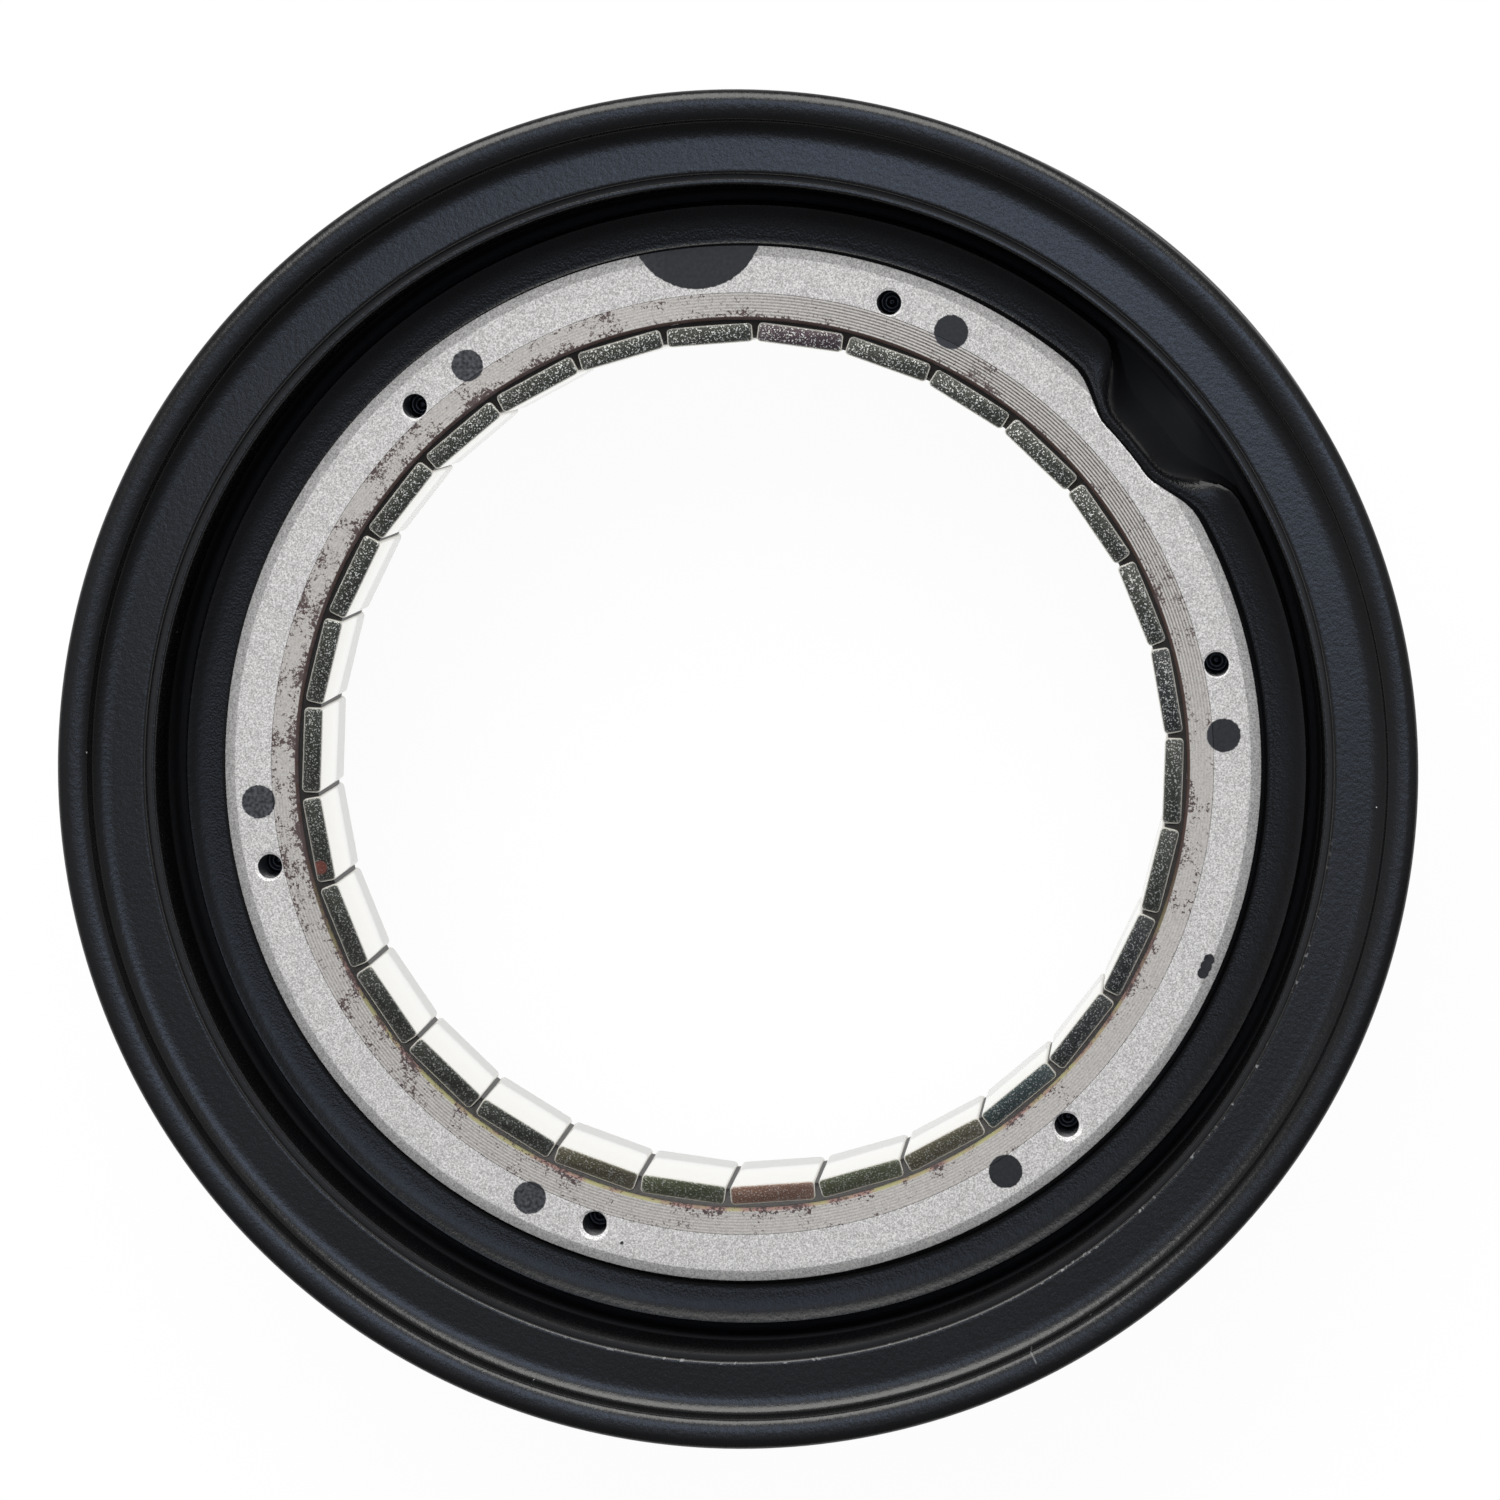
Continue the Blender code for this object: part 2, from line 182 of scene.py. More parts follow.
SHOULDER = [
    (65.05, 15.00, 65.05, 15.00), (69.60, 15.00, 67.75, 15.00), (69.93, 15.00, 68.08, 15.00),
    (70.10, 14.96, 68.30, 14.98),
    (71.30, 14.64, 68.44, 14.93), (71.43, 14.54, 68.52, 14.80), (71.52, 14.20, 68.62, 14.35),
    (71.70, 13.78, 68.80, 14.06), (71.95, 13.56, 69.00, 13.98), (72.25, 13.48, 69.24, 14.02),
    (72.60, 13.50, 69.46, 14.06), (72.95, 13.54, 69.66, 14.04), (73.30, 13.57, 69.86, 13.95),
    (73.60, 13.59, 70.04, 13.80), (74.00, 13.63, 70.20, 13.62), (74.50, 13.68, 70.34, 13.40),
    (75.00, 13.74, 70.48, 13.15), (75.50, 13.81, 70.60, 12.85), (76.00, 13.92, 70.72, 12.50),
    (76.50, 14.07, 70.84, 12.10), (76.90, 14.20, 70.96, 11.65), (77.15, 14.25, 71.10, 11.10),
    (77.30, 14.05, 71.26, 10.50), (77.38, 13.70, 71.44, 9.90), (77.46, 13.00, 71.64, 9.20),
    (77.58, 9.80, 72.20, 7.60), (77.70, 6.00, 73.30, 6.00), (77.78, 5.30, 74.00, 5.35),
]
TROUGH = [(78.05, 4.80), (78.40, 4.56), (78.80, 4.56), (79.15, 4.80), (79.42, 5.30), (79.55, 6.2)]
MOUTH = [(79.97, 22.80), (80.02, 23.10), (80.11, 23.31), (80.26, 23.43), (80.44, 23.45),
         (80.70, 23.40), (80.92, 23.38), (81.05, 23.46), (81.14, 23.72), (81.17, 24.18),
         (81.22, 24.37), (81.31, 24.50), (81.44, 24.57), (81.60, 24.60),
         (81.85, 24.60), (85.40, 24.60), (85.70, 24.60)]
FILLET = [(85.75 + 2.70 * math.sin(math.radians(t)), 25.60 - math.cos(math.radians(t)))
          for t in range(9, 91, 9)]
GROOVE = [(88.56, 27.40), (88.52, 28.30), (88.47, 28.90)]
INNER_CREST = [(90.90 - 2.45 * math.cos(math.radians(t)),
                29.40 + 0.599 * math.sin(math.radians(t)))
               for t in range(0, 91, 9)]
OUTER_CREST = [(90.90 + 1.60 * math.sin(math.radians(t)),
                29.10 + 0.899 * math.cos(math.radians(t)))
               for t in range(9, 91, 9)]
LIP = INNER_CREST + OUTER_CREST + arc((91.15, 28.60), 1.35, 0, -45, 5)
FLANGE = [(91.35, 25.60), (90.40, 24.10), (89.10, 22.95), (87.60, 22.28), (86.00, 22.02),
          (84.60, 21.98), (83.80, 21.98), (83.30, 21.80), (82.90, 21.40), (82.72, 20.90)]
WELL = [(82.70, 20.60), (82.42, 14.60), (82.30, 14.30), (81.65, 13.30), (81.50, 13.10)]
upper_half = [(r, h) for r, h, _, _ in SHOULDER] + TROUGH + MOUTH + FILLET + GROOVE + LIP
upper_half += FLANGE + WELL
upper_half.insert(0, (65.00, 14.95))
section = upper_half + [(r, -h) for r, h in reversed(upper_half)]
print(len(section), "points in the rim's section")

# %% [markdown]
# ## Sweeping the section into a rim
#
# A plane is added and merged to one vertex, and that vertex is extruded from point to point. The
# closed outline is then spun about the wheel's axis, in fine steps through the notch and in
# coarser ones round the rest. The notch starts on the X axis and is turned to its place later.

# %% Draw the section and spin it
NOTCH_ANGLE = 39.6
NOTCH_HALF = 11.0
NOTCH_FLOOR = 3.3


def draw_outline(name, points):
    """A closed outline in the XZ plane, drawn by extruding one vertex along it."""
    deselect()
    bpy.ops.mesh.primitive_plane_add(size=0.001, location=(0, 0, 0))
    piece = bpy.context.object
    piece.name = name
    bpy.ops.object.mode_set(mode="EDIT")
    bpy.ops.mesh.select_mode(type="VERT")
    bpy.ops.mesh.select_all(action="SELECT")
    bpy.ops.mesh.merge(type="CENTER")
    x, z = points[0][0] * MM, (points[0][1] + CENTRE) * MM
    bpy.ops.transform.translate(value=(x, 0, z))
    for radius, height in points[1:]:
        step = (radius * MM - x, 0, (height + CENTRE) * MM - z)
        bpy.ops.mesh.extrude_vertices_move(TRANSFORM_OT_translate={"value": step})
        x, z = radius * MM, (height + CENTRE) * MM
    bpy.ops.mesh.select_all(action="SELECT")
    bpy.ops.object.mode_set(mode="OBJECT")
    return piece


def close_outline(piece):
    """Join the outline's two ends with an edge."""
    last = len(piece.data.vertices) - 1
    degree = [0] * (last + 1)
    for edge in piece.data.edges:
        for index in edge.vertices:
            degree[index] += 1
    pick(piece, "vertices", lambda vertex: degree[vertex.index] == 1)
    bpy.ops.mesh.edge_face_add()


def spin_outline(piece, sectors):
    """Spin the outline about the wheel's axis, sector by sector, into a closed ring."""
    close_outline(piece)
    bpy.ops.mesh.select_all(action="SELECT")
    for degrees, steps in sectors:
        bpy.ops.mesh.spin(steps=steps, angle=math.radians(degrees), center=(0, 0, 0),
                          axis=(0, 0, 1), use_auto_merge=False)
    bpy.ops.mesh.select_all(action="SELECT")
    bpy.ops.mesh.remove_doubles(threshold=0.000002)
    bpy.ops.mesh.normals_make_consistent(inside=False)
    bpy.ops.object.mode_set(mode="OBJECT")


rim = draw_outline("wheel_rim", section)
only(rim)
bpy.ops.transform.rotate(value=math.radians(NOTCH_HALF), orient_axis="Z",
                         center_override=(0, 0, 0))
settle(rim)
start = max(vertex.co.y for vertex in rim.data.vertices)
if start > 0:  # the sweep has to begin on the other side of the X axis
    bpy.ops.transform.rotate(value=-2 * math.radians(NOTCH_HALF), orient_axis="Z",
                             center_override=(0, 0, 0))
    settle(rim)
spin_outline(rim, [(2 * NOTCH_HALF, 48), (360 - 2 * NOTCH_HALF, 288)])
print("rim:", len(rim.data.polygons), "faces")

# %% [markdown]
# ## The notch for the valve
#
# The casting is pressed in at one place of its edge so that the valve can be reached. Its flanks
# are soft S-curves. A boolean would leave a hard rim there, so the rows of the shoulder are moved
# instead: each vertex goes part of the way from the plain section to the notched one, and a
# raised cosine gives its share. In the same cell the cast shoulder and the trough's outer wall go
# a few tenths of a millimetre off centre, because in the photograph they do not share a centre
# with the turned face. Turning a casting that sits a little askew in the lathe would do that.

# %% Press the notch and set the shoulder off centre
FACE_EDGE = 71.45


def notch_share(angle):
    """1 on the notch's floor, 0 beyond its flanks."""
    along = (abs(angle) - NOTCH_FLOOR) / (NOTCH_HALF - NOTCH_FLOOR)
    along = min(max(along, 0.0), 1.0)
    return 0.5 + 0.5 * math.cos(math.pi * along)


def match_row(radius, height):
    """The row of the shoulder that a vertex lies on, or None."""
    for row in SHOULDER:
        if abs(row[0] - radius) < 0.004 and abs(row[1] - height) < 0.004:
            return row
    return None


TO_NOTCH = Matrix.Rotation(math.radians(-NOTCH_ANGLE), 3, "Z")
OFF_CENTRE = TO_NOTCH @ Vector((0.40, -0.15, 0))
MOUTH_OFF_CENTRE = TO_NOTCH @ Vector((0.05, -0.25, 0))
moved = 0
for vertex in rim.data.vertices:
    x, y, height = vertex.co.x / MM, vertex.co.y / MM, vertex.co.z / MM - CENTRE
    radius, angle = math.hypot(x, y), math.degrees(math.atan2(y, x))
    if 78.0 < radius < 81.0 and 4.0 < height < 23.5:
        vertex.co.x += MOUTH_OFF_CENTRE.x * MM
        vertex.co.y += MOUTH_OFF_CENTRE.y * MM
        continue
    row = match_row(radius, height)
    if row is None:
        continue
    share = notch_share(angle)
    new_radius = radius + share * (row[2] - row[0])
    new_height = height + share * (row[3] - row[1])
    place = Vector((x, y, 0)) * (new_radius / radius)
    if radius > FACE_EDGE:
        place += OFF_CENTRE * (1 - share)
    vertex.co = Vector((place.x, place.y, new_height + CENTRE)) * MM
    moved += 1
print("shoulder:", moved, "vertices placed")

# %% [markdown]
# ## Holes
#
# Six screws hold each cover, in tapped holes close to the steel ring, and the valve comes through
# the barrel behind the notch. Each hole is a cylinder that is shaped into a drill, with a drill's
# cone at its tip and a wider mouth, and taken out of the rim with an exact boolean.

# %% Drill the holes
FACE_HEIGHT = 15.0  # of the machined face above the centre plane
HOLE_CIRCLE = 66.8
HOLE_RADIUS = 1.70
HOLE_DEPTH = 10.0
FIRST_HOLE = 12.3  # degrees from +X
VALVE_RADIUS = 4.15
VALVE_HEIGHT = 9.85  # above the centre plane
BARREL_MIDDLE = 81.2  # radius in the middle of the barrel's wall
PIT_ANGLE = 336.9
PIT_RADIUS = 69.6
PIT_SIZE = (0.82, 1.85, 0.45)  # half axes: outwards, along the rim, down
holes = []


def make_drill(angle, side, mouth_scale, mouth_depth, shift):
    """A drill for one tapped hole: plain bore, wider mouth, cone at the tip."""
    deselect()
    turned = math.radians(angle - NOTCH_ANGLE)
    place = Vector((HOLE_CIRCLE * math.cos(turned), HOLE_CIRCLE * math.sin(turned), CENTRE)) * MM
    place.z += side * (FACE_HEIGHT - HOLE_DEPTH / 2) * MM
    bpy.ops.mesh.primitive_cylinder_add(vertices=40, radius=HOLE_RADIUS * MM, depth=HOLE_DEPTH * MM,
                                        location=place, end_fill_type="TRIFAN")
    drill = bpy.context.object
    settle(drill)
    mouth = (CENTRE + side * FACE_HEIGHT) * MM
    tip = (CENTRE + side * (FACE_HEIGHT - HOLE_DEPTH)) * MM
    pick(drill, "vertices", lambda v: abs(v.co.z - mouth) < 1e-6)
    bpy.ops.transform.translate(value=(0, 0, -side * mouth_depth * MM))
    bpy.ops.mesh.select_all(action="DESELECT")
    bpy.ops.object.mode_set(mode="OBJECT")
    centre = (place.x, place.y, mouth)
    pick(drill, "polygons", lambda f: f.normal.z * side > 0.9)
    wider = (0, 0, side * mouth_depth * MM)
    bpy.ops.mesh.extrude_region_move(TRANSFORM_OT_translate={"value": wider})
    bpy.ops.transform.resize(value=(mouth_scale, mouth_scale, 1), center_override=centre)
    outwards = Vector((math.cos(turned), math.sin(turned), 0)) * shift * MM
    bpy.ops.transform.translate(value=outwards)
    clear = (0, 0, side * 0.5 * MM)
    bpy.ops.mesh.extrude_region_move(TRANSFORM_OT_translate={"value": clear})
    bpy.ops.object.mode_set(mode="OBJECT")
    pick(drill, "vertices", lambda v: abs(v.co.z - tip) < 1e-6
         and math.hypot(v.co.x - place.x, v.co.y - place.y) < 1e-5)
    bpy.ops.transform.translate(value=(0, 0, -side * 1.0 * MM))
    bpy.ops.object.mode_set(mode="OBJECT")
    return drill


# how many times wider than the bore, how deep, and how far off outwards
MOUTHS = [(1.16, 0.34, 0.0), (1.18, 0.34, 0.0), (1.20, 0.36, 0.0), (1.22, 0.40, 0.1),
          (1.26, 0.50, 0.2), (1.26, 0.50, 0.2)]
for index, mouth in enumerate(MOUTHS):
    for side in (1, -1):
        holes.append(make_drill(FIRST_HOLE + 60 * index, side, *mouth))

deselect()
bpy.ops.mesh.primitive_cylinder_add(vertices=64, radius=VALVE_RADIUS * MM, depth=5 * MM,
                                    location=(BARREL_MIDDLE * MM, 0, (CENTRE + VALVE_HEIGHT) * MM),
                                    rotation=(0, math.pi / 2, 0))
valve_drill = bpy.context.object
settle(valve_drill)
holes.append(valve_drill)

turned = math.radians(PIT_ANGLE - NOTCH_ANGLE)
pit_place = Vector((PIT_RADIUS * math.cos(turned), PIT_RADIUS * math.sin(turned),
                    CENTRE + FACE_HEIGHT))
deselect()
bpy.ops.mesh.primitive_uv_sphere_add(segments=40, ring_count=20, radius=1,
                                     location=pit_place * MM, rotation=(0, 0, turned),
                                     scale=Vector(PIT_SIZE) * MM)
pit_cutter = bpy.context.object
settle(pit_cutter)
holes.append(pit_cutter)

deselect()
for drill in holes:
    drill.select_set(True)
bpy.context.view_layer.objects.active = holes[0]
bpy.ops.object.join()
drills = bpy.context.object
only(rim)
cutting = rim.modifiers.new("drill", "BOOLEAN")
cutting.operation = "DIFFERENCE"
cutting.solver = "EXACT"
cutting.object = drills
bpy.ops.object.modifier_apply(modifier="drill")
bpy.data.objects.remove(drills, do_unlink=True)
rim.rotation_euler.z = math.radians(NOTCH_ANGLE)
settle(rim)
print("rim with its holes:", len(rim.data.polygons), "faces")

# %% [markdown]
# ## The steel ring
#
# The magnets need iron behind them, so a steel ring sits in the shell. It is turned in one go
# with the aluminium, flush with it, and the joint between the two is a hairline. It is made like
# the rim: an outline, closed and spun.

# %% Steel ring
ring_half = [(61.30, 14.52), (61.36, 14.64), (61.66, 14.94), (61.76, 15.00), (64.92, 15.00),
             (64.97, 14.95)]
ring = draw_outline("steel_ring", ring_half + [(r, -h) for r, h in reversed(ring_half)])
spin_outline(ring, [(360, 360)])
print("ring:", len(ring.data.polygons), "faces")

# %% [markdown]
# ## The magnets
#
# Thirty nickel-plated neodymium blocks are glued side by side in the ring. They are modelled once:
# a cube at its size, its long edges rounded, then all the others broken a little. Each copy gets
# its own mesh, sits a hair differently, as glued parts do, and keeps its number.

# %% Magnets
MAGNET = (2.7, 11.81, 27.0)  # thickness, width, length
MAGNET_RADIUS = 60.77 - MAGNET[0] / 2
MAGNET_COUNT = 30
FIRST_MAGNET = 10.2  # degrees from +X
deselect()
bpy.ops.mesh.primitive_cube_add(size=1, location=(0, 0, 0), scale=Vector(MAGNET) * MM)
block = bpy.context.object
settle(block)
bpy.ops.object.mode_set(mode="EDIT")
bpy.ops.mesh.select_mode(type="EDGE")
bpy.ops.mesh.select_all(action="DESELECT")
bpy.ops.object.mode_set(mode="OBJECT")
for edge in block.data.edges:
    one, two = (block.data.vertices[i].co for i in edge.vertices)
    edge.select = abs(one.z - two.z) > 20 * MM
bpy.ops.object.mode_set(mode="EDIT")
bpy.ops.mesh.bevel(offset=0.65 * MM, segments=6, profile=0.5, affect="EDGES")
bpy.ops.object.mode_set(mode="OBJECT")
rounding = block.modifiers.new("broken_edges", "BEVEL")
rounding.width = 0.30 * MM
rounding.segments = 3
rounding.limit_method = "ANGLE"
rounding.angle_limit = math.radians(50)
bpy.ops.object.modifier_apply(modifier="broken_edges")
print("magnet:", len(block.data.polygons), "faces")

random.seed(30)
magnets = []
for index in range(MAGNET_COUNT):
    magnet = block.copy()
    magnet.data = block.data.copy()
    bpy.context.scene.collection.objects.link(magnet)
    magnet.name = f"magnet_block_{index + 1:02d}"
    angle = math.radians(FIRST_MAGNET + 360 / MAGNET_COUNT * index)
    reach = (MAGNET_RADIUS + random.uniform(-0.05, 0.05)) * MM
    height = (CENTRE + 0.5 + random.uniform(-0.15, 0.15)) * MM
    magnet.location = (reach * math.cos(angle), reach * math.sin(angle), height)
    magnet.rotation_euler.z = angle + math.radians(random.uniform(-0.25, 0.25))
    settle(magnet)
    magnets.append(magnet)
bpy.data.objects.remove(block, do_unlink=True)

# %% [markdown]
# ## The glue
#
# An adhesive holds each block. It fills the space behind the flat backs and part of the joints
# between the blocks, and stops a little short of their ends. It is a thin ring, spun like the
# steel one, and the blocks stand in it.

# %% Glue
glue_half = [(58.75, 10.50), (58.85, 12.70), (59.20, 13.15), (60.30, 13.45), (60.78, 13.80),
             (61.28, 13.95)]
glue = draw_outline("magnet_glue", glue_half + [(r, 1 - h) for r, h in reversed(glue_half)])
spin_outline(glue, [(360, 180)])
print("glue:", len(glue.data.polygons), "faces")

# %% [markdown]
# ## Finishes in real sizes
#
# A finish is read from the size of its grain as much as from its colour, so every pattern below
# is scaled in real millimetres. This helper gives a material the place in millimetres, the radius
# from the wheel's axis, the angle round it and the place with its height taken out. With the
# radius and the angle a mark can be put where the photograph has it.

# %% Places on the wheel, in millimetres
COLOURS = {"data_type": "RGBA"}
FOUR_D = {"noise_dimensions": "4D"}


def wheel_place(material):
    """Object coordinates in millimetres, with the radius from the axis and the angle round it."""
    place = add_node(material, "TexCoord")
    mm = add_node(material, "VectorMath", "SCALE", i0=place.outputs["Object"], i3=1000.0)
    flat = add_node(material, "VectorMath", "MULTIPLY", i0=mm, i1=(1, 1, 0))
    radius = add_node(material, "VectorMath", "LENGTH", i0=flat)
    parts = add_node(material, "SeparateXYZ", Vector=flat)
    angle = add_node(material, "Math", {"operation": "ARCTAN2"}, i0=parts.outputs["Y"],
                     i1=parts.outputs["X"])
    return mm, radius.outputs["Value"], angle, flat


# %% [markdown]
# ## Powder coat
#
# Powder coat is a baked plastic film a tenth of a millimetre thick. Here it is black satin. The
# eye reads it from a soft, cool sheen on the wide band, a clear line on each rounded crest and
# nearly nothing in the trough. It has a fine orange peel, and over the cast shoulder it keeps the
# sandy grain of the casting. The noises are four-dimensional, because three-dimensional ones lose
# their grain on a flat face whose height falls on a whole cell.

# %% Powder coat: film and grain
powder = new_material("powder_coat_black_satin")
mm, radius, angle, flat = wheel_place(powder)
peel = add_node(powder, "TexNoise", FOUR_D, Vector=mm, W=0.5, Scale=1 / 0.7, Detail=1.0)
grain = add_node(powder, "TexNoise", FOUR_D, Vector=mm, W=0.5, Scale=1 / 0.28, Detail=1.0)
cloud = add_node(powder, "TexNoise", Vector=mm, Scale=1 / 16, Detail=4.0)
film = add_node(powder, "Mix", COLOURS, i0=cloud, i6=tone("#0b0b0c"), i7=tone("#131416"))

# %% [markdown]
# ### Dust, chips and a nick
#
# A few pale specks of dust lie on the film. Along the sharp edge of the step, on the lower right,
# the coat is chipped off in short dashes and the bare metal shows. One nick crosses the lip at
# the bottom. Chips and nick are on the front only. All three are masks that meet in one number,
# from 0 on black film to 1 on pale.

# %% Powder coat: dust, chips and a nick
CHIPPED_EDGE = 81.42  # radius of the step's sharp edge
NICK_RADIUS = 89.3
nick = math.radians(297.2)
heights = add_node(powder, "SeparateXYZ", Vector=mm)
front = add_node(powder, "Math", "GREATER_THAN", i0=heights.outputs["Z"], i1=CENTRE + 22.3)
dust = add_node(powder, "TexVoronoi", Vector=mm, Scale=1 / 5.5, Randomness=1.0)
fleck = add_node(powder, "Math", "LESS_THAN", i0=dust.outputs["Distance"], i1=0.022)
rare = add_node(powder, "SeparateColor", Color=dust.outputs["Color"])
rare = add_node(powder, "Math", "GREATER_THAN", i0=rare.outputs["Red"], i1=0.72)
fleck = add_node(powder, "Math", "MULTIPLY", i0=fleck, i1=rare)
chips = add_node(powder, "TexNoise", Vector=mm, Scale=1 / 0.9, Detail=3.0)
off_edge = add_node(powder, "Math", "SUBTRACT", i0=radius, i1=CHIPPED_EDGE)
off_edge = add_node(powder, "Math", "ABSOLUTE", i0=off_edge)
on_edge = add_node(powder, "MapRange", Value=off_edge, From_Min=0.25, From_Max=0.15)
below = add_node(powder, "MapRange", Value=angle, From_Min=-0.05, From_Max=-0.5)
left_of = add_node(powder, "MapRange", Value=angle, From_Min=-2.0, From_Max=-1.7)
lost = add_node(powder, "MapRange", Value=chips, From_Min=0.60, From_Max=0.66, To_Max=0.35)
for factor in (on_edge, below, left_of, front):
    lost = add_node(powder, "Math", "MULTIPLY", i0=lost, i1=factor)
fleck = add_node(powder, "Math", "MAXIMUM", i0=fleck, i1=lost)
across = add_node(powder, "VectorMath", "DOT_PRODUCT", i0=flat,
                  i1=(-math.sin(nick), math.cos(nick), 0))
across = add_node(powder, "Math", "ABSOLUTE", i0=across.outputs["Value"])
across = add_node(powder, "MapRange", Value=across, From_Min=0.14, From_Max=0.06, To_Max=0.22)
along = add_node(powder, "VectorMath", "DISTANCE", i0=flat,
                 i1=(NICK_RADIUS * math.cos(nick), NICK_RADIUS * math.sin(nick), 0))
along = add_node(powder, "MapRange", Value=along.outputs["Value"], From_Min=1.0, From_Max=0.8)
scratch = add_node(powder, "Math", "MULTIPLY", i0=across, i1=along)
scratch = add_node(powder, "Math", "MULTIPLY", i0=scratch, i1=front)
fleck = add_node(powder, "Math", "MAXIMUM", i0=fleck, i1=scratch)

# %% [markdown]
# ### Where the film is thin
#
# Powder hardly gets into a deep, narrow trough: the charged grains settle on its edges. Down
# there and on the narrow step the film is thin and dull, and the cast shoulder is duller than the
# barrel. That keeps the trough black, as in the photograph.
# Where the film is thin its colour is also painted lighter: a painted fill light in the trough's
# shade.

# %% Powder coat: thin film and shader
depth = add_node(powder, "Math", "SUBTRACT", i0=heights.outputs["Z"], i1=CENTRE)
depth = add_node(powder, "Math", "ABSOLUTE", i0=depth)
low = add_node(powder, "MapRange", Value=depth, From_Min=13.4, From_Max=11.5)
inside = add_node(powder, "MapRange", Value=radius, From_Min=80.5, From_Max=80.3)
thin_film_and_fill_light = add_node(powder, "Math", "MULTIPLY", i0=low, i1=inside)
step = add_node(powder, "Math", "COMPARE", i0=radius, i1=80.80, i2=0.34)
step = add_node(powder, "Math", "MULTIPLY", i0=step, i1=0.6)
thin_film_and_fill_light = add_node(powder, "Math", "MAXIMUM", i0=thin_film_and_fill_light, i1=step)
gloss = add_node(powder, "MapRange", Value=grain, From_Min=0.3, From_Max=0.7, To_Min=0.20,
                 To_Max=0.30)
gloss = add_node(powder, "Mix", {"data_type": "FLOAT"}, i0=thin_film_and_fill_light, i2=gloss, i3=0.85)
shine = add_node(powder, "MapRange", Value=thin_film_and_fill_light, To_Min=0.5, To_Max=0.15)
calm = add_node(powder, "MapRange", Value=radius, From_Min=76.6, From_Max=78.0, To_Min=0.5,
                To_Max=1.0)
shine = add_node(powder, "Math", "MULTIPLY", i0=shine, i1=calm)
# Thin film is painted a lighter black (#242528): painted fill light in the trough's shade.
film = add_node(powder, "Mix", COLOURS, i0=thin_film_and_fill_light, i6=film.outputs[2], i7=tone("#242528"))
dusted = add_node(powder, "Mix", COLOURS, i0=fleck, i6=film.outputs[2], i7=tone("#b5b6b8"))
cast = add_node(powder, "MapRange", Value=radius, From_Min=73.6, From_Max=74.6, To_Min=0.55,
                To_Max=0.14)
dimple = add_node(powder, "Bump", Strength=cast, Distance=0.00010, Height=grain)
skin = add_node(powder, "Bump", Strength=0.12, Distance=0.00020, Height=peel, Normal=dimple)
shader = add_node(powder, "BsdfPrincipled", Base_Color=dusted.outputs[2], Roughness=gloss,
                  Normal=skin, Specular_IOR_Level=shine)
add_node(powder, "OutputMaterial", Surface=shader)
print(powder.name, "has", len(powder.node_tree.nodes), "nodes")

# %% [markdown]
# ## Painted marks on the bare face
#
# Black spots sit beside the tapped holes, round as a dab from a brush, with one large round patch
# at the top and a painted pit on the right. They lie on aluminium and steel alike, so both metals
# use the same mask. Each mark is a distance from a point, with a noise that frays its edge. The
# photograph shows the front only, so the rear face stays bare.

# %% Painted marks on bare metal
# angle in degrees, distance from the axis, radius of the mark
SPOTS = [(3.9, 66.45, 2.50), (64.2, 66.25, 2.52), (124.4, 66.65, 2.35), (184.5, 67.0, 2.50),
         (244.0, 66.8, 2.45), (303.2, 66.75, 2.50), (256.0, 68.25, 0.42), (94.7, 74.9, 9.35),
         (336.05, 69.6, 0.95), (336.9, 69.6, 1.00), (337.75, 69.6, 0.95)]


def painted_mask(material, mm, flat, ragged):
    """1 where a round painted mark covers the metal, 0 elsewhere."""
    mask = 0.0
    for degrees, reach, size in SPOTS:
        turned = math.radians(degrees)
        middle = (reach * math.cos(turned), reach * math.sin(turned), 0)
        away = add_node(material, "VectorMath", "DISTANCE", i0=flat, i1=middle)
        rough_edge = add_node(material, "Math", "ADD", i0=away.outputs["Value"], i1=ragged)
        inside = add_node(material, "MapRange", Value=rough_edge, From_Min=size + 0.06,
                          From_Max=size - 0.06)
        mask = add_node(material, "Math", "MAXIMUM", i0=mask, i1=inside)
    place = add_node(material, "SeparateXYZ", Vector=mm)
    front = add_node(material, "Math", "GREATER_THAN", i0=place.outputs["Z"], i1=CENTRE)
    return add_node(material, "Math", "MULTIPLY", i0=mask, i1=front)


# %% [markdown]
# ## Machined aluminium, blasted
#
# The hub face is bare aluminium, turned and then blasted with fine grit. Blasting leaves tiny
# pits: the eye sees an even, light grey field that sparkles in grains of a fifth of a millimetre
# and shows no streak of reflection. Half of its colour is set as plain and half as metal, which
# brings its lightness near the photograph's. The bevel is painted darker, a painted shade of a face
# that tilts away from the light, and the hole mouths are painted lighter, a painted highlight on
# their chamfers.

# %% Machined and blasted aluminium: the metal
aluminium = new_material("machined_aluminium_blasted")
mm, radius, _, flat = wheel_place(aluminium)
grit = add_node(aluminium, "TexNoise", FOUR_D, Vector=mm, W=0.5, Scale=1 / 0.2, Detail=1.0)
cloud = add_node(aluminium, "TexNoise", Vector=mm, Scale=1 / 9, Detail=3.0)
wear = add_node(aluminium, "TexNoise", Vector=mm, Scale=1 / 0.5, Detail=2.0)
metal = add_node(aluminium, "Mix", COLOURS, i0=cloud, i6=tone("#c9c8c8"), i7=tone("#d2d1d1"))
speckle = add_node(aluminium, "MapRange", Value=grit, From_Min=0.32, From_Max=0.68, To_Min=0.62,
                   To_Max=1.24)
metal = add_node(aluminium, "VectorMath", "SCALE", i0=metal.outputs[2], i3=speckle)
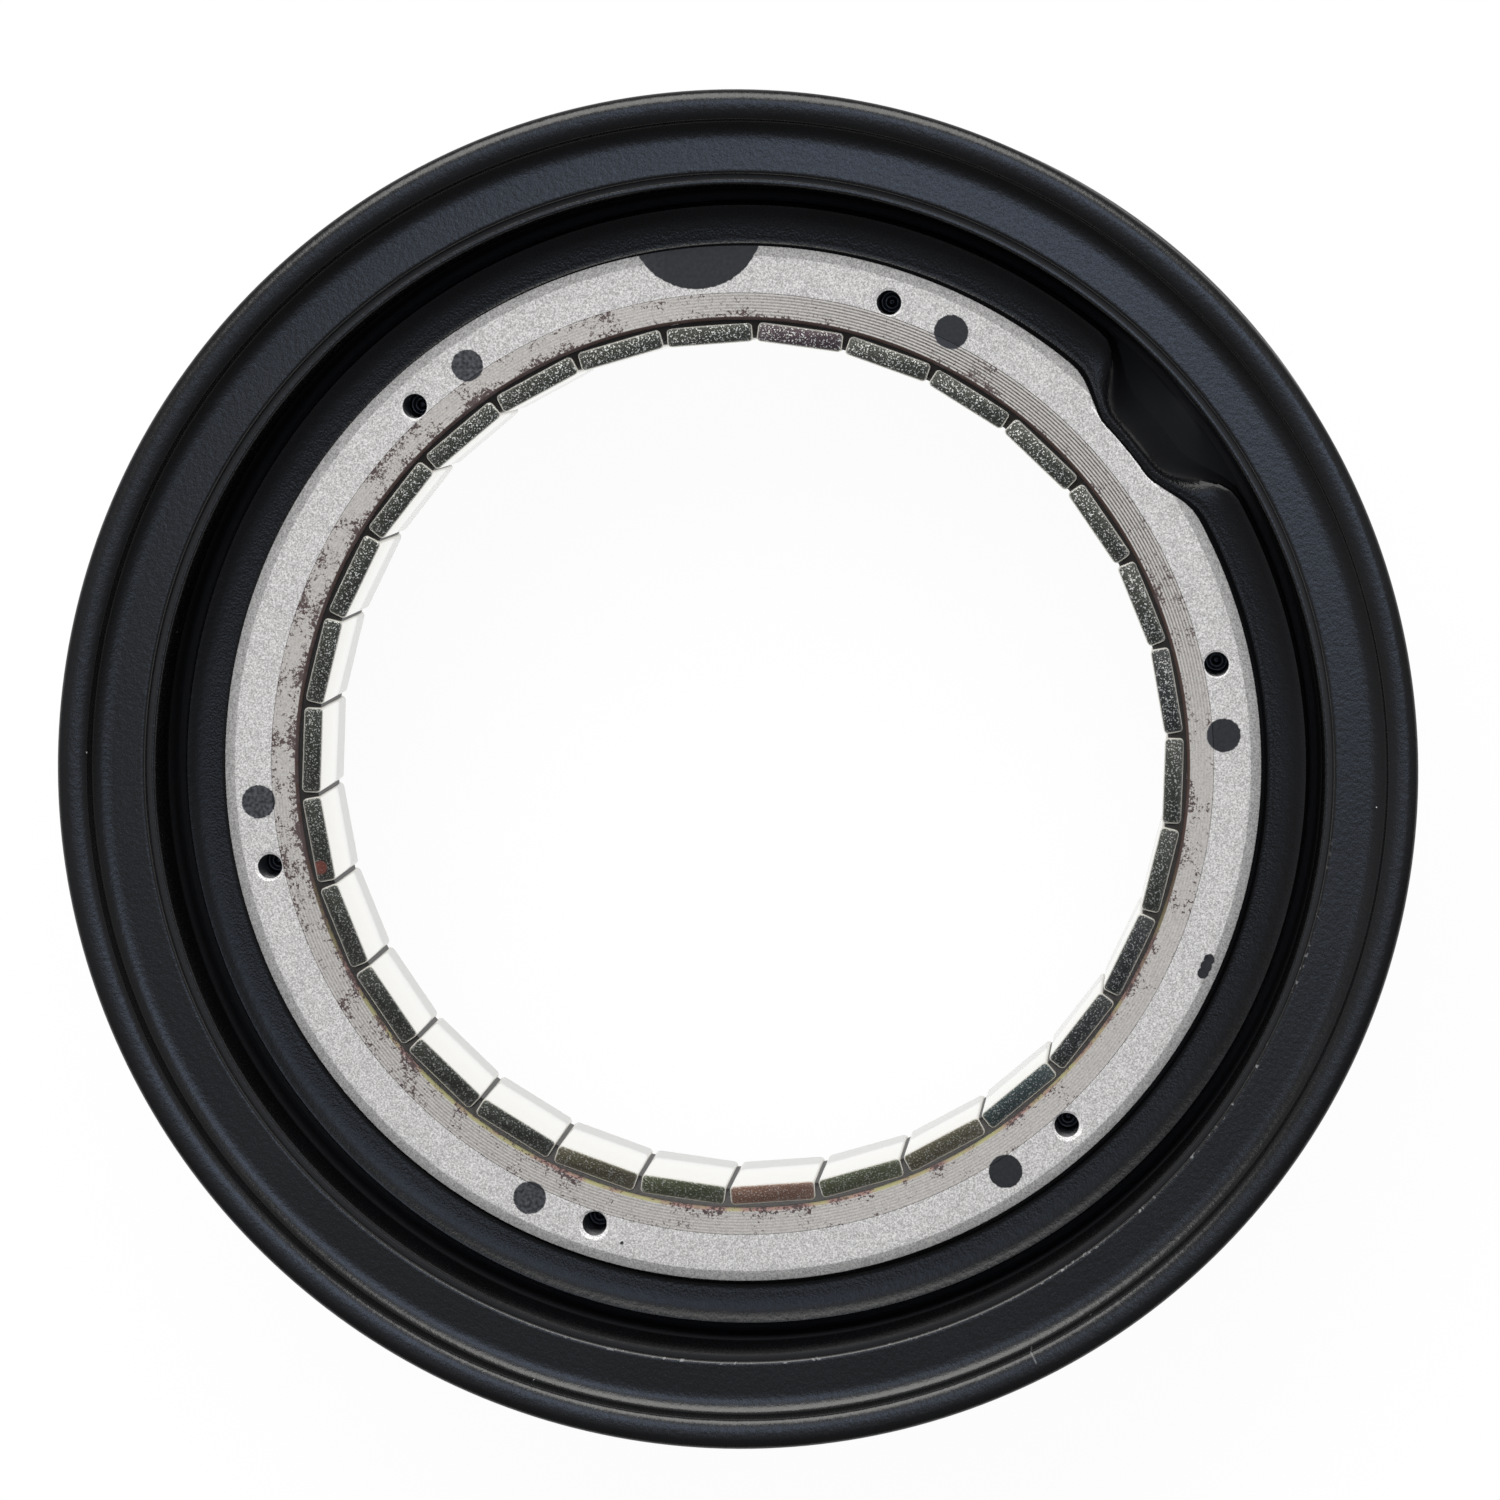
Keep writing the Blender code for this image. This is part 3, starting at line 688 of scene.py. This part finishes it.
# The bevel is painted darker (times 0.69): painted shade of a face that tilts away from the light.
bevel = add_node(aluminium, "MapRange", Value=radius, From_Min=69.98, From_Max=70.08, To_Min=1.0,
                 To_Max=0.69)
metal = add_node(aluminium, "VectorMath", "SCALE", i0=metal, i3=bevel)
# Faces sunk below the face plane near the holes are painted up to 1.5 times lighter: a painted
# highlight on the mouth chamfers.
place = add_node(aluminium, "SeparateXYZ", Vector=mm)
sunk_mouth_highlight = add_node(aluminium, "Math", "SUBTRACT", i0=place.outputs["Z"], i1=CENTRE)
sunk_mouth_highlight = add_node(aluminium, "Math", "ABSOLUTE", i0=sunk_mouth_highlight)
sunk_mouth_highlight = add_node(aluminium, "MapRange", Value=sunk_mouth_highlight, From_Min=14.98, From_Max=14.94, To_Min=1.0,
                To_Max=1.5)
near = add_node(aluminium, "Math", "LESS_THAN", i0=radius, i1=69.0)
mouth_highlight = add_node(aluminium, "Mix", {"data_type": "FLOAT"}, i0=near, i2=1.0, i3=sunk_mouth_highlight)
metal = add_node(aluminium, "VectorMath", "SCALE", i0=metal, i3=mouth_highlight)
dull = add_node(aluminium, "MapRange", Value=grit, From_Min=0.3, From_Max=0.7, To_Min=0.92,
                To_Max=0.76)
blast = add_node(aluminium, "Bump", Strength=0.35, Distance=0.00006, Height=grit)
bare = add_node(aluminium, "BsdfPrincipled", Base_Color=metal, Metallic=0.5, Roughness=dull,
                Normal=blast)

# %% [markdown]
# ### Paint over the aluminium
#
# The paint of the spots is thin. On the left side it is rubbed and the metal greys it; on the
# right it is still black. It lies level over the pits of the blasting, so its normal is that of
# the flat face.

# %% Machined and blasted aluminium: paint and shader
edge = add_node(aluminium, "Math", "MULTIPLY", i0=wear, i1=0.35)
mark = painted_mask(aluminium, mm, flat, edge)
level = add_node(aluminium, "CombineXYZ", X=0.0, Y=0.0, Z=1.0)
worn_side = add_node(aluminium, "VectorMath", "DOT_PRODUCT", i0=flat, i1=(-1, 0, 0))
worn_side = add_node(aluminium, "MapRange", Value=worn_side.outputs["Value"], From_Min=10.0,
                     From_Max=30.0, To_Min=1.3, To_Max=5.0)
paint = add_node(aluminium, "MapRange", Value=wear, From_Min=0.35, From_Max=0.70, To_Min=0.75,
                 To_Max=worn_side)
paint = add_node(aluminium, "VectorMath", "SCALE", i0=tone("#1e1f22")[:3], i3=paint)
coat = add_node(aluminium, "BsdfPrincipled", Base_Color=paint, Roughness=0.45, Normal=level,
                Specular_IOR_Level=0.35)
shader = add_node(aluminium, "MixShader", i0=mark, i1=bare, i2=coat)
add_node(aluminium, "OutputMaterial", Surface=shader)
print(aluminium.name, "has", len(aluminium.node_tree.nodes), "nodes")

# %% [markdown]
# ## Threads
#
# The tapped holes are almost black to the eye, with a faint ring where a thread's crest takes the
# light. A wave of 0.7 mm along the height, the pitch of an M4 thread, tilts the surface.

# %% Thread of the tapped holes
THREAD_PITCH = 0.7
thread = new_material("tapped_thread_dark")
mm, _, _, _ = wheel_place(thread)
parts = add_node(thread, "SeparateXYZ", Vector=mm)
groove = add_node(thread, "Math", "MULTIPLY", i0=parts.outputs["Z"], i1=math.tau / THREAD_PITCH)
groove = add_node(thread, "Math", "SINE", i0=groove)
ridge = add_node(thread, "Bump", Strength=1.0, Distance=0.0003, Height=groove)
shader = add_node(thread, "BsdfPrincipled", Base_Color=tone("#6e6e70"), Metallic=1.0,
                  Roughness=0.42, Normal=ridge)
add_node(thread, "OutputMaterial", Surface=shader)

# %% [markdown]
# ## Turned steel
#
# The steel ring was faced on the lathe. Fine rings from the tool stay on it. Their contrast is
# painted by angle, clear at the upper right, fainter at the lower left and lost elsewhere: a
# painted shading of where the light rakes across them. Its inner chamfer kept a film of oil or heat
# tint, plain brown above; on the lower half, where it faces the light, it is painted pale yellow
# and pink, a painted reflection over the tint.

# %% Turned steel: the metal
TURN_PITCH = 0.42
steel = new_material("turned_steel_rust_specks")
mm, radius, angle, flat = wheel_place(steel)
turns = add_node(steel, "Math", "MULTIPLY", i0=radius, i1=math.tau / TURN_PITCH)
turns = add_node(steel, "Math", "SINE", i0=turns)
grit = add_node(steel, "TexNoise", FOUR_D, Vector=mm, W=0.5, Scale=1 / 0.20, Detail=1.0)
stain = add_node(steel, "TexNoise", Vector=mm, Scale=1 / 0.55, Detail=5.0, Roughness=0.62)
patch = add_node(steel, "TexNoise", Vector=mm, Scale=1 / 4.0, Detail=2.0)
# The rings' contrast is painted strongest at 50 and 230 degrees and on the upper half: painted
# shading where the light rakes across them.
doubled = add_node(steel, "Math", "MULTIPLY", i0=angle, i1=2.0)
doubled = add_node(steel, "Math", "SUBTRACT", i0=doubled, i1=math.radians(100))
doubled = add_node(steel, "Math", "COSINE", i0=doubled)
raking_light_share = add_node(steel, "MapRange", Value=doubled, From_Min=-0.2, From_Max=0.9, To_Min=0.01,
                  To_Max=0.50)
raking_light_upper = add_node(steel, "Math", "SINE", i0=angle)
raking_light_upper = add_node(steel, "MapRange", Value=raking_light_upper, From_Min=-0.3, From_Max=0.3, To_Min=0.35,
                 To_Max=1.0)
raking_light_share = add_node(steel, "Math", "MULTIPLY", i0=raking_light_share, i1=raking_light_upper)
dark = add_node(steel, "Math", "SUBTRACT", i0=turns, i1=0.5)
lines = add_node(steel, "Math", "MULTIPLY", i0=dark, i1=raking_light_share)
speckle = add_node(steel, "MapRange", Value=grit, From_Min=0.32, From_Max=0.68, To_Min=0.80,
                   To_Max=1.10)
metal = add_node(steel, "Math", "ADD", i0=lines, i1=speckle)
metal = add_node(steel, "VectorMath", "SCALE", i0=tone("#bbb8b5")[:3], i3=metal)
hue = add_node(steel, "MapRange", Value=patch, From_Min=0.42, From_Max=0.58)
oil = add_node(steel, "Mix", COLOURS, i0=hue, i6=tone("#a9a67e"), i7=tone("#a38680"))
# On the lower half, where the chamfer faces the light, the tint is painted pale yellow and pink: a
# painted reflection; above it stays dark brown.
facing_light_below = add_node(steel, "Math", "SINE", i0=angle)
facing_light_below = add_node(steel, "MapRange", Value=facing_light_below, From_Min=-0.2, From_Max=-0.6)
oil = add_node(steel, "Mix", COLOURS, i0=facing_light_below, i6=tone("#54423c"), i7=oil.outputs[2])
rim_edge = add_node(steel, "MapRange", Value=radius, From_Min=61.78, From_Max=61.66)
metal = add_node(steel, "Mix", COLOURS, i0=rim_edge, i6=metal, i7=oil.outputs[2])
line = add_node(steel, "Bump", Strength=0.2, Distance=0.00006, Height=turns)
blast = add_node(steel, "Bump", Strength=0.35, Distance=0.00010, Height=grit, Normal=line)
bare = add_node(steel, "BsdfPrincipled", Base_Color=metal.outputs[2], Metallic=0.5, Roughness=0.74,
                Normal=blast)

# %% [markdown]
# ### Rust
#
# Steel rusts and aluminium does not, so the rust stops at the joint. It is purple-brown, in specks
# of half a millimetre that gather into patches along the bore and along the joint, thickest on
# the left. A noise makes the specks, and the place adds to it or takes from it before a threshold
# cuts out the rust.

# %% Turned steel: rust, paint and shader
facing = add_node(steel, "Math", "SUBTRACT", i0=angle, i1=math.radians(165))
facing = add_node(steel, "Math", "COSINE", i0=facing)
facing = add_node(steel, "MapRange", Value=facing, From_Min=-0.1, From_Max=1.0, To_Min=-0.05,
                  To_Max=0.075)
inner = add_node(steel, "MapRange", Value=radius, From_Min=63.2, From_Max=61.9, To_Min=-0.02,
                 To_Max=0.13)
seam = add_node(steel, "MapRange", Value=radius, From_Min=63.6, From_Max=64.6, To_Min=-0.01,
                To_Max=0.05)
places = add_node(steel, "Math", "MAXIMUM", i0=inner, i1=seam)
spread = add_node(steel, "MapRange", Value=patch, From_Min=0.3, From_Max=0.7, To_Min=-0.17,
                  To_Max=0.15)
broken = add_node(steel, "MapRange", Value=grit, From_Min=0.35, From_Max=0.65, To_Min=0.08,
                  To_Max=-0.08)
amount = stain
for share in (facing, places, spread, broken):
    amount = add_node(steel, "Math", "ADD", i0=amount, i1=share)
rusty = add_node(steel, "MapRange", Value=amount, From_Min=0.62, From_Max=0.74)
brown = add_node(steel, "Mix", COLOURS, i0=grit, i6=tone("#31272a"), i7=tone("#5b4b4b"))
rust = add_node(steel, "BsdfPrincipled", Base_Color=brown.outputs[2], Roughness=0.85)
worn = add_node(steel, "MixShader", i0=rusty, i1=bare, i2=rust)
edge = add_node(steel, "Math", "MULTIPLY", i0=stain, i1=0.35)
mark = painted_mask(steel, mm, flat, edge)
coat = add_node(steel, "BsdfPrincipled", Base_Color=tone("#1e1f22"), Roughness=0.38)
shader = add_node(steel, "MixShader", i0=mark, i1=worn, i2=coat)
add_node(steel, "OutputMaterial", Surface=shader)
print(steel.name, "has", len(steel.node_tree.nodes), "nodes")

# %% [markdown]
# ## Nickel plating
#
# The magnets are plated with nickel. On their ends the plating is dark and pitted, with bright
# grains painted in as painted glints, most of them on the upper half, towards the light. The broken
# edges are painted pale, a painted highlight along each edge, and the long faces in the bore are
# as bright as the white floor they reflect. Some blocks have their own tint, from violet to copper
# and green, as plating does when it ages, and on one block, at the left, the plating is lost in a
# small spot down to the copper under it.

# %% Nickel plating of the magnets
TINTS = {"plain": "#454640", "violet": "#4e4347", "copper": "#806456", "green": "#565946",
         "blue": "#454e4d", "olive": "#5f5a4a", "dark": "#3d3e3d"}
COPPER_SPOT = (60.1 * math.cos(math.radians(193.9)), 60.1 * math.sin(math.radians(193.9)), 44.0)
TINT_OF_MAGNET = {7: "violet", 23: "copper", 22: "green", 24: "green", 21: "olive",
                  25: "olive", 26: "blue", 1: "dark", 27: "dark", 28: "dark"}
plating = {}
for tint, colour in TINTS.items():
    nickel = new_material(f"nickel_plating_{tint}")
    mm, _, angle, flat = wheel_place(nickel)
    shape = add_node(nickel, "NewGeometry")
    facing = add_node(nickel, "SeparateXYZ", Vector=shape.outputs["Normal"])
    facing = add_node(nickel, "Math", "ABSOLUTE", i0=facing.outputs["Z"])
    end = add_node(nickel, "MapRange", Value=facing, From_Min=0.90, From_Max=0.995)
    pits = add_node(nickel, "TexNoise", FOUR_D, Vector=mm, W=0.5, Scale=1 / 0.22, Detail=1.0)
    # Bright grains are painted into the colour: painted glints, more of them on the upper half,
    # towards the light.
    painted_glint_share = add_node(nickel, "Math", "SINE", i0=angle)
    painted_glint_share = add_node(nickel, "MapRange", Value=painted_glint_share, From_Min=-0.5, From_Max=0.5, To_Min=0.35,
                   To_Max=0.85)
    painted_glint = add_node(nickel, "MapRange", Value=pits, From_Min=0.55, From_Max=0.66, To_Min=0.0,
                     To_Max=painted_glint_share)
    plate = add_node(nickel, "Mix", COLOURS, i0=painted_glint, i6=tone(colour), i7=tone("#dcdcd6"))
    spot = add_node(nickel, "VectorMath", "DISTANCE", i0=mm, i1=COPPER_SPOT)
    spot = add_node(nickel, "MapRange", Value=spot.outputs["Value"], From_Min=1.05, From_Max=0.80,
                    To_Max=0.85)
    plate = add_node(nickel, "Mix", COLOURS, i0=spot, i6=plate.outputs[2], i7=tone("#9a5c52"))
    inward = add_node(nickel, "VectorMath", "NORMALIZE", i0=flat)
    inward = add_node(nickel, "VectorMath", "DOT_PRODUCT", i0=inward, i1=shape.outputs["Normal"])
    bore = add_node(nickel, "MapRange", Value=inward.outputs["Value"], From_Min=-0.55,
                    From_Max=-0.85)
    # Rounded edges take the pale colour and lose part of their metal: a painted highlight along
    # each edge.
    side = add_node(nickel, "Mix", COLOURS, i0=bore, i6=tone("#dcdad2"), i7=tone("#f6f5f0"))
    bright = add_node(nickel, "Mix", COLOURS, i0=end, i6=side.outputs[2], i7=plate.outputs[2])
    edge_highlight_share = add_node(nickel, "MapRange", Value=end, To_Min=1.0, To_Max=0.0)
    edge_highlight_share = add_node(nickel, "Math", "MULTIPLY", i0=edge_highlight_share, i1=facing)
    metallic = add_node(nickel, "MapRange", Value=edge_highlight_share, From_Max=0.6, To_Min=1.0, To_Max=0.4)
    smooth = add_node(nickel, "MapRange", Value=bore, To_Min=0.38, To_Max=0.14)
    dull = add_node(nickel, "MapRange", Value=end, To_Min=smooth, To_Max=0.50)
    pit = add_node(nickel, "Bump", Strength=0.5, Distance=0.00012, Height=pits)
    normal = add_node(nickel, "Mix", {"data_type": "VECTOR"}, i0=end, i4=shape.outputs["Normal"],
                      i5=pit)
    shader = add_node(nickel, "BsdfPrincipled", Base_Color=bright.outputs[2], Metallic=metallic,
                      Roughness=dull, Normal=normal.outputs[1])
    add_node(nickel, "OutputMaterial", Surface=shader)
    plating[tint] = nickel
print(len(plating), "tints of nickel plating")

# %% [markdown]
# ## Glue and who wears what
#
# The adhesive is a resin, half matt, coloured nearly black, partly as painted shade: between the
# magnets the eye sees only a dark slit with a dull glimmer. Then each piece gets its materials.
# The rim has three, and its machined faces and its holes are picked by their place.

# %% Glue
resin = new_material("epoxy_adhesive_grey")
mm, _, _, _ = wheel_place(resin)
blobs = add_node(resin, "TexNoise", Vector=mm, Scale=1 / 0.8, Detail=2.0)
# The near-black resin colour stands partly for the shade deep in the slits: painted shade.
resin_and_slit_shade = add_node(resin, "Mix", COLOURS, i0=blobs, i6=tone("#161413"), i7=tone("#211e1b"))
lump = add_node(resin, "Bump", Strength=0.4, Distance=0.0002, Height=blobs)
shader = add_node(resin, "BsdfPrincipled", Base_Color=resin_and_slit_shade.outputs[2], Roughness=0.5, Normal=lump)
add_node(resin, "OutputMaterial", Surface=shader)

# %% Give each piece its materials
for material in (powder, aluminium, thread):
    rim.data.materials.append(material)
ring.data.materials.append(steel)
glue.data.materials.append(resin)
for index, magnet in enumerate(magnets):
    magnet.data.materials.append(plating[TINT_OF_MAGNET.get(index + 1, "plain")])


NOTCHED_EDGE = 68.5  # radius of the machined face's edge in the notch
FACE_SKIN = 14.5  # height above the centre plane where the machined face and its bevel begin
SOFT_ANGLE = 26  # edges flatter than this are shaded smooth, in degrees


def place_of(face):
    """Radius from the wheel's axis and height from the centre plane of a face, in millimetres."""
    return face.center.to_2d().length / MM, abs(face.center.z / MM - CENTRE)


def in_hole(face):
    """Whether a face is in one of the tapped holes."""
    radius, height = place_of(face)
    if not 64.9 < radius < 68.9 or height > FACE_SKIN or height < 3:
        return False
    angle = math.degrees(math.atan2(face.center.y, face.center.x))
    off = (angle - FIRST_HOLE + 30) % 60 - 30
    return math.hypot(radius - HOLE_CIRCLE, math.radians(off) * HOLE_CIRCLE) < 2.1


def is_machined(face):
    """Whether a face belongs to a machined hub face or its bevel."""
    radius, height = place_of(face)
    angle = math.degrees(math.atan2(face.center.y, face.center.x)) - NOTCH_ANGLE
    on_front = face.center.z > CENTRE * MM
    share = notch_share((angle + 180) % 360 - 180) if on_front else 0
    edge = FACE_EDGE + share * (NOTCHED_EDGE - FACE_EDGE)
    return radius < edge and height > FACE_SKIN


for slot, wanted in ((1, is_machined), (2, in_hole)):
    only(rim)
    count = pick(rim, "polygons", wanted)
    rim.active_material_index = slot
    bpy.ops.object.material_slot_assign()
    bpy.ops.object.mode_set(mode="OBJECT")
    print(rim.data.materials[slot].name, "on", count, "faces")
for piece in [rim, ring, glue, *magnets]:
    only(piece)
    bpy.ops.object.shade_smooth_by_angle(angle=math.radians(SOFT_ANGLE))

# %% [markdown]
# ## Floor
#
# The photograph has plain white all round, so the floor is white paper: it glows evenly for the
# camera and for mirror-like faces, and a small share stays matt to hold the wheel's shadow.

# %% Floor
deselect()
bpy.ops.mesh.primitive_plane_add(size=6, location=(0, 0, -0.0005))
floor = bpy.context.object
floor.name = "floor"
paper = new_material("pale_paper")
seen = add_node(paper, "LightPath")
matt = add_node(paper, "BsdfDiffuse", Color=tone("#f4f4f4"))
glow = add_node(paper, "Emission", Color=tone("#ffffff"), Strength=1.0)
direct = add_node(paper, "Math", "MAXIMUM", i0=seen.outputs["Is Camera Ray"],
                  i1=seen.outputs["Is Glossy Ray"])
direct = add_node(paper, "Math", "MAXIMUM", i0=direct, i1=seen.outputs["Is Transmission Ray"])
share = add_node(paper, "Math", "MULTIPLY", i0=direct, i1=0.95)
mix = add_node(paper, "MixShader", i0=share, i1=matt, i2=glow)
add_node(paper, "OutputMaterial", Surface=mix)
floor.data.materials.append(paper)

# %% [markdown]
# ## Light
#
# The light is that of a bright room from behind and above. Diffuse surfaces take even light from
# all round. Glossy ones see a dim room that is lighter towards the top of the picture and has a
# pale horizon, which draws the fine lines on the lip and on the fillet. A large softbox behind the
# wheel lights the face and models the edges, and a small cool panel overhead gives the wide black
# band its bluish sheen.

# %% World
world = bpy.data.worlds.new("studio")
bpy.context.scene.world = world
world.use_nodes = True
world.node_tree.nodes.clear()
path = add_node(world, "LightPath")
direction = add_node(world, "TexCoord")
rise = add_node(world, "SeparateXYZ", Vector=direction.outputs["Generated"])
low = add_node(world, "MapRange", {"interpolation_type": "SMOOTHSTEP"}, Value=rise.outputs["Z"],
               From_Min=0.02, From_Max=0.22, To_Min=0.7, To_Max=0.0)
wall = add_node(world, "Math", "MULTIPLY", i0=low, i1=path.outputs["Is Glossy Ray"])
direct = add_node(world, "Math", "MAXIMUM", i0=path.outputs["Is Camera Ray"],
                  i1=path.outputs["Is Transmission Ray"])
direct = add_node(world, "Math", "MAXIMUM", i0=direct, i1=wall)
window = add_node(world, "VectorMath", "DOT_PRODUCT", i0=direction.outputs["Generated"],
                  i1=(-0.20, 0.98, 0))
window = add_node(world, "MapRange", {"interpolation_type": "SMOOTHSTEP"},
                  Value=window.outputs["Value"], From_Min=-0.38, From_Max=-0.04, To_Min=0.09,
                  To_Max=0.28)
soft = add_node(world, "Background", Color=tone("#fafbff"), Strength=window)
white = add_node(world, "Background", Color=tone("#ffffff"), Strength=1.0)
even = add_node(world, "Background", Color=tone("#fffdfb"), Strength=0.75)
soft = add_node(world, "MixShader", i0=path.outputs["Is Diffuse Ray"], i1=soft, i2=even)
both = add_node(world, "MixShader", i0=direct, i1=soft, i2=white)
add_node(world, "OutputWorld", Surface=both)

# %% Lamps
softbox = bpy.data.lights.new("softbox", "AREA")
softbox.shape = "RECTANGLE"
softbox.size = 2.0
softbox.size_y = 1.4
softbox.energy = 47
softbox.color = tone("#fffefb")[:3]
lamp = bpy.data.objects.new("softbox", softbox)
bpy.context.scene.collection.objects.link(lamp)
lamp.location = (-0.22, 1.45, 1.85)
lamp.rotation_euler = (Vector((0, 0, 0)) - lamp.location).to_track_quat("-Z", "Y").to_euler()

panel = bpy.data.lights.new("ceiling_panel", "AREA")
panel.shape = "RECTANGLE"
panel.size = 0.7
panel.size_y = 0.36
panel.energy = 2.5
panel.color = tone("#c7dcff")[:3]
ceiling = bpy.data.objects.new("ceiling_panel", panel)
bpy.context.scene.collection.objects.link(ceiling)
ceiling.location = (0.10, 0.17, 2.0)
print("softbox", softbox.energy, "W, ceiling panel", panel.energy, "W")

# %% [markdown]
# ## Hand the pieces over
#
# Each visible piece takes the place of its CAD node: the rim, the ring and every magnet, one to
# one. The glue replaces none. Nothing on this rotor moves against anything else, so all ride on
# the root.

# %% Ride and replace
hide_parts("rim_casting")
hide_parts("flux_ring")
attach(rim, "root")
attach(ring, "root")
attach(glue, "root")
for index, magnet in enumerate(magnets):
    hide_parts(f"magnet_{index + 1:02d}")
    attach(magnet, "root")
deselect()
